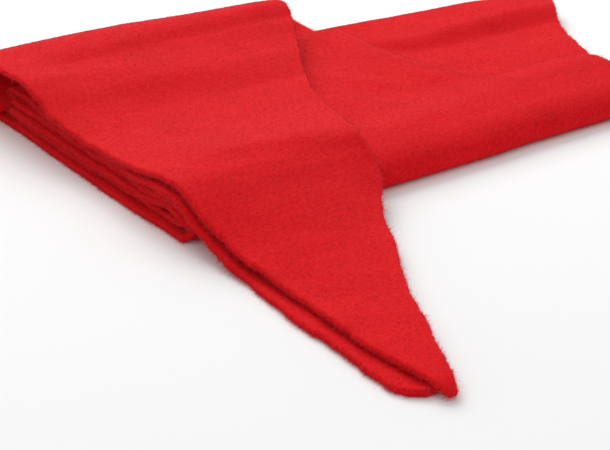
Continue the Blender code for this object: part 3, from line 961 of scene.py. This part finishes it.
# --------------------------------------------------------------- the stretches
@dataclass
class Stretch:
    """One stretch of the scarf: how its ply runs and how it is dressed."""

    node: str                      # its solid in the frame
    cut: tuple                     # width and length of its cut, in metres
    rests_on: tuple
    seed: int
    nap_side: Side = Side.TOP
    raw: tuple = (Rim.LEFT, Rim.RIGHT, Rim.END)
    felt_height: float = 0.12      # how uneven the milled face is
    nap: Nap = Nap()
    lip: EdgeFuzz = EdgeFuzz(density=12.0, shortest=0.5, longest=1.7, width=0.14)
    fuzz: EdgeFuzz = EdgeFuzz(density=3.8, shortest=1.0, longest=3.6, width=0.11)
    most_hairs: int = 48000        # in one piece of nap
    least_points: int = 3          # of a rim that edge fibres root on

    def felt(self) -> SoftNoise:
        """Fine unevenness of the milled face."""
        return SoftNoise(self.seed, self.felt_height, cell=5.0)

    def ply(self) -> Ply:
        """Work out the ply."""
        raise NotImplementedError

    def shown(self, ply: Ply) -> np.ndarray:
        """Share of each cell of the ply that shows."""
        raise NotImplementedError

    def is_open(self, rim: Rim, points: np.ndarray) -> np.ndarray:
        """Which points of a raw rim are clear of other cloth: here, all."""
        return np.ones(len(points), bool)

    def edge_hairs(self, ply: Ply, fuzz: EdgeFuzz, rng: np.random.Generator) -> Hairs:
        """Scatter one kind of edge fibre along all the raw rims that are clear.

        Args:
            ply: The ply.
            fuzz: The kind of fibre.
            rng: Generator of the draws.

        Returns:
            The hairs, over the table.
        """
        hairs = None
        for rim, (points, out, up) in ply.rims().items():
            keep = self.is_open(rim, points)
            if rim in self.raw and keep.sum() >= self.least_points:
                more = fuzz.lay(points[keep], out[keep], up[keep], rng)
                hairs = more if hairs is None else hairs.join(more)
        return hairs.above(HAIR_FLOOR)

    def dress(self, ply: Ply, fibre: bpy.types.Material, tuft: bpy.types.Material) -> list:
        """Make the nap, in pieces of a limited size, and the edge fibres.

        Args:
            ply: The ply.
            fibre: Finish of its nap.
            tuft: Finish of the fibres along its cut edges.

        Returns:
            The new objects.
        """
        rng = np.random.default_rng(self.seed)
        face = ply.top if self.nap_side is Side.TOP else ply.under
        outward = ply.normal * self.nap_side.value
        nap = self.nap.lay(face, outward, self.shown(ply), rng).above(HAIR_FLOOR)
        starts = range(0, len(nap.root), self.most_hairs)
        pieces = [nap.part(start, self.most_hairs).piece(f"{self.node}_nap_{k + 1}", False, fibre)
                  for k, start in enumerate(starts)]
        lip = self.edge_hairs(ply, self.lip, rng)
        fuzz = self.edge_hairs(ply, self.fuzz, rng)
        pieces.append(lip.piece(self.node + "_edge_lip", False, tuft))
        pieces.append(fuzz.piece(self.node + "_edge_fibres", True, tuft))
        return pieces

    def build(self, wool: bpy.types.Material, fibre: bpy.types.Material,
              tuft: bpy.types.Material) -> list:
        """Make the shell, its nap and its edge fibres, and hand them over.

        Args:
            wool: Finish of the cloth.
            fibre: Finish of its nap.
            tuft: Finish of the fibres along its cut edges.

        Returns:
            The new objects.
        """
        ply = self.ply()
        shell = ply.shell(self.node + "_wool", wool)
        dressed = self.dress(ply, fibre, tuft)
        for piece in [shell] + dressed:
            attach(piece, "root")
        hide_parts(self.node)
        ply.area()
        return [shell] + dressed


@dataclass
class Flap(Stretch):
    """A ply of the last pair: round the far fold, over the band, to its tip."""

    felt_height: float = 0.10
    sections: np.ndarray = None
    columns: int = 100             # even ones, between those of the rims
    turn_rows: int = 40
    skew: float = 0.0              # how much farther right its turn starts
    edge_seeds: tuple = (11, 23)   # of the left and of the right edge's waver
    crease_turn: tuple = (0.1, 0.9)        # heights in the turn between which creases start

    def nose(self, u: np.ndarray) -> tuple:
        """V and height of the turn's outermost line, and height of the ply below."""
        raise NotImplementedError

    def creases(self, u: np.ndarray, v: np.ndarray) -> np.ndarray:
        """Height of the flap's creases: here none."""
        return np.zeros(np.shape(u))

    def droop(self, v: np.ndarray) -> np.ndarray:
        """Share of the edges' full droop at each row: here none."""
        return np.zeros(np.shape(v))

    def top_grid(self, v: np.ndarray) -> tuple:
        """Middle of the ply over its table of sections.

        The underside runs straight from one edge's height to the other's, plus
        a parabola of the belly's height; half a ply over it is the middle.

        Args:
            v: Places of the rows.

        Returns:
            The grid of points, and each point's distance from the raw edges.
        """
        left = smooth(self.sections, "left", v, "v") + edge_wave(v, self.edge_seeds[0])
        right = smooth(self.sections, "right", v, "v") + edge_wave(v, self.edge_seeds[1])
        width = np.maximum(right - left, TIP_WIDTH)
        across = steps_across(width, self.columns)
        t = across / width[:, None]
        low_l = smooth(self.sections, "under_l", v, "v")[:, None]
        low_r = smooth(self.sections, "under_r", v, "v")[:, None]
        belly = smooth(self.sections, "belly", v, "v")[:, None]
        u = left[:, None] + across
        side = np.minimum(across, width[:, None] - across)
        droop = EDGE_DROOP * self.droop(v)[:, None] * np.exp(-side / DROOP_WIDTH)
        z = low_l + (low_r - low_l) * t + 4.0 * belly * t * (1.0 - t) + PLY / 2.0 - droop
        return np.stack([u, np.broadcast_to(v[:, None], u.shape), z], -1), side

    def ply(self) -> Ply:
        """Work out the ply: half an ellipse a column behind the flap's first row.

        Over the turn's angle a from -90 degrees at the seam below to +90 at
        the row, v = start + (nose - start) cos a and z = centre + half sin a.
        A column at a share t of the width starts skew * t^2 farther right.

        Returns:
            The ply.
        """
        first_v, last_v = self.sections["v"][[0, -1]]
        even = np.arange(first_v, last_v + ENDS_ROOM, -CLOTH_STEP)
        top, side = self.top_grid(np.concatenate([even, last_v + RIM_STEPS[::-1]]))
        first = top[0]
        nose_v, nose_z, low_z = self.nose(first[:, 0])
        angle = np.linspace(-np.pi / 2.0, np.pi / 2.0, self.turn_rows)[:-1, None]
        start_v = np.where(angle < 0.0, MIDDLE_SEAM, first[:, 1])
        half = np.where(angle < 0.0, nose_z - low_z, first[:, 2] - nose_z)
        share = np.linspace(0.0, 1.0, len(first)) ** 2
        turn_u = first[:, 0] + self.skew * share * (1.0 - np.sin(angle)) / 2.0
        turn = np.stack([turn_u, start_v + (nose_v - start_v) * np.cos(angle),
                         nose_z + half * np.sin(angle)], -1)
        mid = np.concatenate([turn, top])
        over = np.concatenate([np.broadcast_to(ease(np.sin(angle), *self.crease_turn), turn_u.shape),
                               np.ones(side.shape)])
        mid[..., 2] += over * self.creases(mid[..., 0], mid[..., 1])
        side = np.concatenate([np.broadcast_to(side[0], turn_u.shape), side])
        felt = self.felt().at(mid[..., 0], mid[..., 1] + mid[..., 2])
        return Ply(mid, side, felt, np.zeros_like(felt))


@dataclass
class UpperFlap(Flap):
    """Ply on top of everything, in plain sight from the far fold to its tip."""

    uneven: SoftNoise = SoftNoise(106, height=0.4, cell=34.0)
    tip_calm: tuple = (-150.0, -60.0)      # V between which that starts
    least_dip: float = 0.3         # how far it dips where it lies on cloth
    more_dip: float = 3.2          # how much farther where it stands clear
    clear: tuple = (110.0, 150.0)  # V between which it comes to stand clear

    def nose(self, u: np.ndarray) -> tuple:
        """The far fold's own line, with the middle pair's hidden ply below it."""
        return smooth(FAR_FOLD, "v", u, "u") - PLY / 2.0, smooth(FAR_FOLD, "centre", u, "u"), Z_INNER_TOP

    def creases(self, u: np.ndarray, v: np.ndarray) -> np.ndarray:
        """The creases and a slow unevenness, down to a limited dip.

        Args:
            u: Places to work them out at.
            v: The same, across the folds.

        Returns:
            The height at each place.
        """
        height = relief(FLAP_CREASES, u, v) + self.uneven.at(u, v) * ease(v, *self.tip_calm)
        return np.maximum(height, -self.least_dip - self.more_dip * ease(v, *self.clear))

    def droop(self, v: np.ndarray) -> np.ndarray:
        """Share of the edges' full droop at each row: the sum of the table's spans."""
        return sum(row["share"] * span(v, row["from_v"], row["full_v"], row["fade_v"], row["gone_v"])
                   for row in DROOPS)

    def shown(self, ply: Ply) -> np.ndarray:
        """All of its outer face shows."""
        return np.ones((ply.mid.shape[0] - 1, ply.mid.shape[1] - 1))


@dataclass
class LowerFlap(Flap):
    """Ply under it: a strip of it shows along the left edge and at the tip."""

    strip: tuple = (8.0, 13.0)     # U between which it goes out of sight
    cover: tuple = (60.0, 110.0)   # V between which it goes out of sight

    def nose(self, u: np.ndarray) -> tuple:
        """A tight turn just behind the seam, with the band's top ply below it."""
        nose_v = np.full(u.shape, MIDDLE_SEAM + LOWER_FOLD)
        return nose_v, np.full(u.shape, (Z_OUTER_TOP + Z_FLAP_LOW) / 2.0), Z_OUTER_TOP

    def shown(self, ply: Ply) -> np.ndarray:
        """The strip along the left edge, as far back as it shows."""
        u, v, _ = np.moveaxis(ply.mid[:-1, :-1], -1, 0)
        return (1.0 - ease(u, *self.strip)) * (1.0 - ease(v, *self.cover))


@dataclass
class Band(Stretch):
    """A ply of the middle and bottom pairs, in ribs from the near fold."""

    raw: tuple = (Rim.LEFT, Rim.RIGHT, Rim.START)
    columns: int = 150             # even ones, between those of the rims
    top_rows: int = 80             # even ones, before those of the rim
    turn_rows: int = 30
    uneven: SoftNoise = SoftNoise(17, height=0.35, cell=30.0)
    bare_u: tuple = (112.0, 140.0)         # U between which that starts, clear of the flap
    drift_cell: float = 38.0       # mm between the left end's drifts

    def ribs(self) -> tuple:
        """Places of the ribs along the near fold, and their distances from the raw edges."""
        across = steps_across(np.array(NEAR_WIDTH - LEFT_END), self.columns)
        return LEFT_END + across, np.minimum(across, NEAR_WIDTH - LEFT_END - across)

    def middle_plan(self, ribs: np.ndarray, start_v: float, back: float) -> tuple:
        """Plan of a ply of the middle pair, from the near fold to its far end.

        Each rib is a quadratic curve (1-s)^2 A + 2s(1-s) B + s^2 C.  Its bend B
        lies half way, then SQUARENESS of the way to where the rib would meet
        its end line at a right angle.  The free edge then wavers across its
        line, by a distance that dies out inside it.

        Args:
            ribs: Places of the ribs.
            start_v: V where the ply leaves the near fold.
            back: How far its end line is moved in.

        Returns:
            U and V, rows by ribs, and the rise of the cloth along the free edge.
        """
        end_u = smooth(MIDDLE_END, "end_u", ribs, "near_u")
        end_v = smooth(MIDDLE_END, "end_v", ribs, "near_u")
        line = np.stack([np.gradient(end_u, ribs), np.gradient(end_v, ribs)])
        along_u, along_v = line / np.hypot(*line)
        free = ease(end_u, FREE_START, FREE_FULL)
        end_u = end_u + back * along_v
        end_v = end_v - back * along_u
        half = np.hypot(end_u - ribs, end_v - start_v) / 2.0
        bend_u = (ribs + end_u) / 2.0
        bend_v = (start_v + end_v) / 2.0
        bend_u = bend_u + SQUARENESS * (end_u + half * along_v - bend_u)
        bend_v = bend_v + SQUARENESS * (end_v - half * along_u - bend_v)
        approach = (end_v - bend_v) * along_u - (end_u - bend_u) * along_v
        approach = np.maximum(approach, LEAST_APPROACH * half)
        rim = 1.0 - RIM_STEPS[::-1, None] / (2.0 * approach)
        even = np.linspace(0.0, 1.0, self.top_rows)[:, None]
        s = np.concatenate([even * rim[:1], rim[1:]])
        u = (1 - s) ** 2 * ribs + 2 * s * (1 - s) * bend_u + s * s * end_u
        v = (1 - s) ** 2 * start_v + 2 * s * (1 - s) * bend_v + s * s * end_v
        edge = free > 0.5
        inside = np.hypot(u[..., None] - end_u[edge], v[..., None] - end_v[edge]).min(axis=-1)
        curl = EDGE_CURL * ease(u, CURL_START, CURL_FULL) * bump(inside, CURL_CREST, CURL_OUTER, CURL_INNER)
        wave = free * edge_wave(ribs, self.seed + 3) * np.exp(-inside / WAVER_REACH)
        return u + wave * along_v, v - wave * along_u, curl

    def middle_rows(self, ribs: np.ndarray, start_v: float, back: float, height: float) -> np.ndarray:
        """Rows of a ply of the middle pair, from its far end to the near fold.

        The height adds the swells, the creases, the rise along the free edge
        and a slow unevenness where the band is bare.

        Args:
            ribs: Places of the ribs.
            start_v: V where the ply leaves the near fold.
            back: How far its end line is moved in.
            height: Height of the ply where it lies flat.

        Returns:
            The rows.
        """
        u, v, curl = self.middle_plan(ribs, start_v, back)
        slow = self.uneven.at(u, v) * ease(u, *self.bare_u)
        z = height + relief(SWELLS, u, v) + relief(BAND_CREASES, u, v) + curl + slow
        return np.stack([u, v, z], -1)[::-1]

    def bottom_plan(self, ribs: np.ndarray, first_v: np.ndarray, last_v: np.ndarray,
                    count: int) -> tuple:
        """Plan of a ply of the bottom pair between two places along its ribs.

        A rib runs straight from the foot of the near fold to the far edge, less
        a parabola 4 * bow * s (1 - s) that bends it to the left.

        Args:
            ribs: Places of the ribs.
            first_v: V of the first row.
            last_v: V of the last row.
            count: How many rows.

        Returns:
            U and V, rows by ribs.
        """
        foot_v = smooth(NEAR_FOLD, "v", ribs, "u") + NOSE_FOOT
        end_u = smooth(BOTTOM_END, "end_u", ribs, "near_u")
        end_v = smooth(BOTTOM_END, "end_v", ribs, "near_u")
        bow = smooth(BOTTOM_END, "bow", ribs, "near_u")
        v = first_v + (last_v - first_v) * np.linspace(0.0, 1.0, count)[:, None]
        s = (v - foot_v) / (end_v - foot_v)
        return ribs + (end_u - ribs) * s - 4.0 * bow * s * (1.0 - s), v

    def near_turn(self, ribs: np.ndarray, top_row: np.ndarray, nose_v: np.ndarray, nose_z: float,
                  low_row: np.ndarray) -> np.ndarray:
        """Turn at the near fold, between a top row and the row that lies flat.

        Over the nose it is a quarter ellipse and under it a smaller one:
        v = back + (nose - back) cos a and z = nose + half sin a.

        Args:
            ribs: Places of the ribs.
            top_row: Last row of the top.
            nose_v: V of the foremost line.
            nose_z: Its height.
            low_row: First row of the lower ply.

        Returns:
            The rows between the two.
        """
        angle = np.linspace(np.pi / 2.0, -np.pi / 2.0, self.turn_rows)[1:-1, None]
        back_v = np.where(angle > 0.0, top_row[:, 1], low_row[:, 1])
        half = np.where(angle > 0.0, top_row[:, 2] - nose_z, nose_z - low_row[:, 2])
        u = ribs + (low_row[:, 0] - ribs) * (1.0 - np.sin(angle)) / 2.0
        v = back_v + (nose_v - back_v) * np.cos(angle)
        return np.stack([u, v, nose_z + half * np.sin(angle)], -1)

    def ragged(self, mid: np.ndarray, side: np.ndarray) -> np.ndarray:
        """Move the raw sides by their waver, and the left one by its ply's step too.

        Both moves fade as exp(-distance / WAVER_REACH) inside the edge.

        Args:
            mid: The ply's middle.
            side: Each point's distance from the raw sides.

        Returns:
            The same points, moved.
        """
        path = np.arange(mid.shape[0])[:, None] * CLOTH_STEP
        on_left = mid[..., 0] < (LEFT_END + NEAR_WIDTH) / 2.0
        drift = SoftNoise(self.seed + 7, LEFT_DRIFT, self.drift_cell).at(path, np.zeros_like(path))
        out = smooth(LEFT_STEPS, "out", mid[..., 2], "z") + drift
        move = np.where(on_left, edge_wave(path, self.seed + 1) - out, edge_wave(path, self.seed + 2))
        mid[..., 0] += move * np.exp(-side / WAVER_REACH)
        return mid

    def is_open(self, rim: Rim, points: np.ndarray) -> np.ndarray:
        """The far end past the flap's width, and all of the raw sides.

        Args:
            rim: The rim.
            points: Its points.

        Returns:
            Which of them are clear of other cloth.
        """
        if rim is Rim.START:
            return points[:, 0] > FREE_CLEAR
        return np.ones(len(points), bool)


@dataclass
class BandOuter(Band):
    """Outer ply of the band: its top, the near fold and the flat underside."""

    base_rows: int = 26            # even ones, before those of the seam
    base_room: float = 4.0         # what they leave of the ply for the seam's
    felt_u: tuple = (60.0, 100.0)  # U between which the milled face comes into sight
    felt_z: tuple = (0.2, 1.5)     # heights over the underside's middle where it does
    tuck: float = 4.0              # how far under the flap its nap reaches
    foot: float = 0.6              # least height of its nap over the underside's middle

    def ply(self) -> Ply:
        """Work out the ply: top rows, the turn, then flat rows on the table.

        Returns:
            The ply.
        """
        ribs, side = self.ribs()
        top = self.middle_rows(ribs, ROLL_START, SEAM, Z_OUTER_TOP)
        nose_v = smooth(NEAR_FOLD, "v", ribs, "u")
        end_v = smooth(BOTTOM_END, "end_v", ribs, "near_u") - BASE_SEAM - SEAM
        u, v = self.bottom_plan(ribs, nose_v + NOSE_FOOT, end_v - self.base_room, self.base_rows)
        end_u, _ = self.bottom_plan(ribs, end_v, end_v, 1)
        tail_v = end_v - RIM_STEPS[::-1, None]
        u = np.concatenate([u, np.broadcast_to(end_u, tail_v.shape)])
        v = np.concatenate([v, tail_v])
        base = np.stack([u, v, np.full(u.shape, Z_BASE)], -1)
        turn = self.near_turn(ribs, top[-1], nose_v, NOSE_HEIGHT, base[0])
        mid = np.concatenate([top, turn, base])
        side = np.broadcast_to(side, mid.shape[:2])
        mid = self.ragged(mid, side)
        show = ease(mid[..., 0], *self.felt_u) * ease(mid[..., 2] - Z_BASE, *self.felt_z)
        felt = self.felt().at(mid[..., 0], mid[..., 1] - mid[..., 2]) * show
        return Ply(mid, side, felt, np.zeros_like(felt))

    def shown(self, ply: Ply) -> np.ndarray:
        """Tell where the top lies to the right of the flap, and the near fold's face.

        Args:
            ply: The ply.

        Returns:
            1 for each cell that shows, 0 for the rest.
        """
        u, v, z = np.moveaxis(ply.mid[:-1, :-1], -1, 0)
        flap = smooth(FLAP_UPPER, "right", v, "v")
        return np.where((u > flap - self.tuck) & (z > Z_BASE + self.foot), 1.0, 0.0)


@dataclass
class BandInner(Band):
    """Hidden plies of the band, and the bottom pair's top with its mid fold."""

    nap_side: Side = Side.UNDER
    top_rows: int = 60
    turn_rows: int = 20
    low_rows: int = 92
    far_rows: int = 26
    hem: tuple = (0.4, 0.7, 0.88, 0.96, 1.0)       # places of the rows under the far turn
    low_uneven: SoftNoise = SoftNoise(29, height=0.4, cell=28.0)
    low_u: tuple = (195.0, 225.0)  # U between which that starts, clear of the middle pair
    low_v: tuple = (48.0, 75.0)    # V between which it starts
    veer_u: tuple = (188.0, 226.0)         # U between which the roll stops veering
    felt_u: tuple = (190.0, 215.0)         # U between which the milled face comes into sight
    past_u: float = 166.0          # least U and V of its nap past the free edge
    past_v: float = 46.0
    back_v: float = 168.0          # least V of its nap behind the far fold
    foot: float = 0.5              # least height of its nap over the underside's middle

    def bottom_top(self, ribs: np.ndarray, last_v: np.ndarray) -> np.ndarray:
        """Top of the bottom pair, from the near fold to the crest of its far turn.

        Its height adds the roll, which grows from ROLL_FOOT to ROLL_TOP and
        veers by ROLL_VEER on the left, the creases and a slow unevenness that
        only rises.

        Args:
            ribs: Places of the ribs.
            last_v: V of the far turn's crest.

        Returns:
            The rows.
        """
        u, v = self.bottom_plan(ribs, ROLL_START + INNER_DELAY, last_v, self.low_rows)
        roll = smooth(BOTTOM_END, "roll", ribs, "near_u")
        slow = (self.low_uneven.height + self.low_uneven.at(u, v)) * ease(u, *self.low_u)
        along = v - ROLL_VEER * (1.0 - ease(u, *self.veer_u))
        z = (Z_INNER_LOW + roll * ease(along, ROLL_FOOT, ROLL_TOP) + relief(LOW_CREASES, u, v)
             + slow * ease(v, *self.low_v))
        return np.stack([u, v, z], -1)

    def ply(self) -> Ply:
        """Work out the ply: hidden top, tight turn, bottom top, and the far turn.

        The far turn is half an ellipse below the roll's crest; its nose is the
        far edge, and it ends flat under the bottom pair.

        Returns:
            The ply.
        """
        ribs, side = self.ribs()
        top = self.middle_rows(ribs, ROLL_START + INNER_DELAY, SEAM + EDGE_STEP, Z_INNER_TOP)
        end_v = smooth(BOTTOM_END, "end_v", ribs, "near_u")
        reach = FLAT_REACH + REACH_PER_ROLL * smooth(BOTTOM_END, "roll", ribs, "near_u")
        crest_v = end_v - PLY / 2.0 - reach
        low = self.bottom_top(ribs, crest_v)
        nose_v = smooth(NEAR_FOLD, "v", ribs, "u") + INNER_TUCK
        turn = self.near_turn(ribs, top[-1], nose_v, Z_INNER_LOW + INNER_NOSE_RISE, low[0])
        crest_u, _, crest_z = low[-1].T
        angle = np.linspace(np.pi / 2.0, -np.pi / 2.0, self.far_rows)[1:, None]
        nose_z = Z_BASE + FAR_NOSE_SHARE * (crest_z - Z_BASE)
        half = np.where(angle > 0.0, crest_z - nose_z, nose_z - Z_BASE)
        far = np.stack([np.broadcast_to(crest_u, half.shape), crest_v + reach * np.cos(angle),
                        nose_z + half * np.sin(angle)], -1)
        hem_v = crest_v + (end_v - BASE_SEAM - crest_v) * np.array(self.hem)[:, None]
        hem = np.stack([np.broadcast_to(crest_u, hem_v.shape), hem_v, np.full(hem_v.shape, Z_BASE)], -1)
        mid = np.concatenate([top, turn, low, far, hem])
        side = np.broadcast_to(side, mid.shape[:2])
        mid = self.ragged(mid, side)
        felt = self.felt().at(mid[..., 0], mid[..., 1]) * ease(mid[..., 0], *self.felt_u)
        return Ply(mid, side, np.zeros_like(felt), felt)

    def shown(self, ply: Ply) -> np.ndarray:
        """Tell where the bottom pair's top lies past the free edge or behind the far fold.

        Args:
            ply: The ply.

        Returns:
            1 for each cell that shows, 0 for the rest.
        """
        u, v, z = np.moveaxis(ply.mid[:-1, :-1], -1, 0)
        rows = np.arange(u.shape[0])[:, None]
        bottom = (rows >= self.top_rows + len(RIM_STEPS) + self.turn_rows) & (z > Z_BASE + self.foot)
        past = (u > self.past_u) & (v > self.past_v)
        return np.where(bottom & (past | (v > self.back_v)), 1.0, 0.0)


# ---------------------------------------------------------------------- studio
@dataclass(frozen=True)
class Softbox:
    """A square soft light that faces the scarf."""

    name: str
    place: tuple                   # metres
    size: float                    # metres
    power: float                   # watts

    def hang(self) -> None:
        """Make the light and aim it at the frame's origin."""
        lamp = bpy.data.lights.new(self.name, 'AREA')
        lamp.size = self.size
        lamp.energy = self.power
        piece = bpy.data.objects.new(self.name, lamp)
        bpy.context.scene.collection.objects.link(piece)
        piece.location = self.place
        piece.rotation_euler = (-Vector(self.place)).to_track_quat('-Z', 'Y').to_euler()


@dataclass
class Studio:
    """Pale sweep, soft light from above, and the photograph's view."""

    lens: float = 85.0             # mm
    sensor: float = 36.0           # mm
    elevation: float = 25.0        # degrees that the view looks down
    azimuth: float = -35.73        # degrees that it is turned from +V
    distance: float = 576.0        # to the point on the table that it looks at
    look_u: float = 48.1           # U and V of that point
    look_v: float = -13.1
    nearest: float = 0.02          # metres, past which things are in view
    surround: float = 0.69         # strength of the even light from all round
    sweep: float = 4000.0          # side of the sheet
    sweep_drop: float = 0.02       # how far it lies under the scarf
    boxes: tuple = (
        Softbox("far_softbox", place=(0.36, 1.5, 1.2), size=1.2, power=28.0),
    )

    def floor(self) -> None:
        """Lay the sweep, one flat sheet just under the scarf."""
        corners = np.array([[-1.0, -1.0], [1.0, -1.0], [1.0, 1.0], [-1.0, 1.0]]) * self.sweep / 2.0
        points = np.concatenate([corners, np.full((4, 1), -self.sweep_drop)], 1) + ORIGIN
        sheet = make_piece("paper_sweep", points, np.array([[0, 1, 2, 3]]), corners, PaleSweep().make())

    def light(self) -> None:
        """Set the even surround and hang the softboxes."""
        world = bpy.data.worlds.new("studio_surround")
        world.use_nodes = True
        background = world.node_tree.nodes["Background"]
        set_shader(background, {"Color": (1.0, 1.0, 1.0, 1.0), "Strength": self.surround})
        bpy.context.scene.world = world
        for box in self.boxes:
            box.hang()

    def camera(self) -> None:
        """Place the camera by its angles and its distance from what it looks at."""
        a = math.radians(self.azimuth)
        e = math.radians(self.elevation)
        forward = Vector((-math.sin(a) * math.cos(e), math.cos(a) * math.cos(e), -math.sin(e)))
        data = bpy.data.cameras.new("view")
        data.lens = self.lens
        data.sensor_width = self.sensor
        data.sensor_fit = 'HORIZONTAL'
        data.clip_start = self.nearest
        view = bpy.data.objects.new("view", data)
        bpy.context.scene.collection.objects.link(view)
        look = Vector(((np.array([self.look_u, self.look_v, 0.0]) - ORIGIN) * MM).tolist())
        turn = forward.to_track_quat('-Z', 'Y').to_matrix().to_4x4()
        view.matrix_world = Matrix.Translation(look - forward * self.distance * MM) @ turn
        bpy.context.scene.camera = view

    def build(self) -> None:
        """Set up the whole studio, with plain colour output."""
        self.floor()
        self.light()
        self.camera()
        bpy.context.scene.view_settings.view_transform = 'Standard'


def main() -> None:
    """Build the scarf and its studio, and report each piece."""
    logging.basicConfig(level=logging.INFO)
    wool = FulledWool().make()
    fibre = WoolFibre().make()
    # The cut edges' fibres get a paler copy of the fibre finish: painted light, standing in for the bright
    # halo where light comes through them
    tuft = WoolFibre("cut_edge_fibre_painted_halo", shade="#DE1822", tip="#FF545C", bloom="#FF4650").make()
    stretches = (
        UpperFlap("flap_upper", cut=(0.19, 0.42), rests_on=("flap_lower", "band_outer"), seed=101,
                  sections=FLAP_UPPER, columns=104, turn_rows=52, skew=FAR_SKEW),
        LowerFlap("flap_lower", cut=(0.15, 0.36), rests_on=("band_outer",), seed=202,
                  sections=FLAP_LOWER, columns=64, turn_rows=18, edge_seeds=(41, 53)),
        BandOuter("band_outer", cut=(0.36, 0.35), rests_on=("band_inner", "paper_sweep"), seed=303),
        BandInner("band_inner", cut=(0.36, 0.35), rests_on=("band_outer",), seed=404),
    )
    for stretch in stretches:
        for piece in stretch.build(wool, fibre, tuft):
            LOG.info("%s: %d faces", piece.name, len(piece.data.polygons))
    Studio().build()
    LOG.info("studio: sweep, light and camera")


if __name__ == "__main__":
    main()
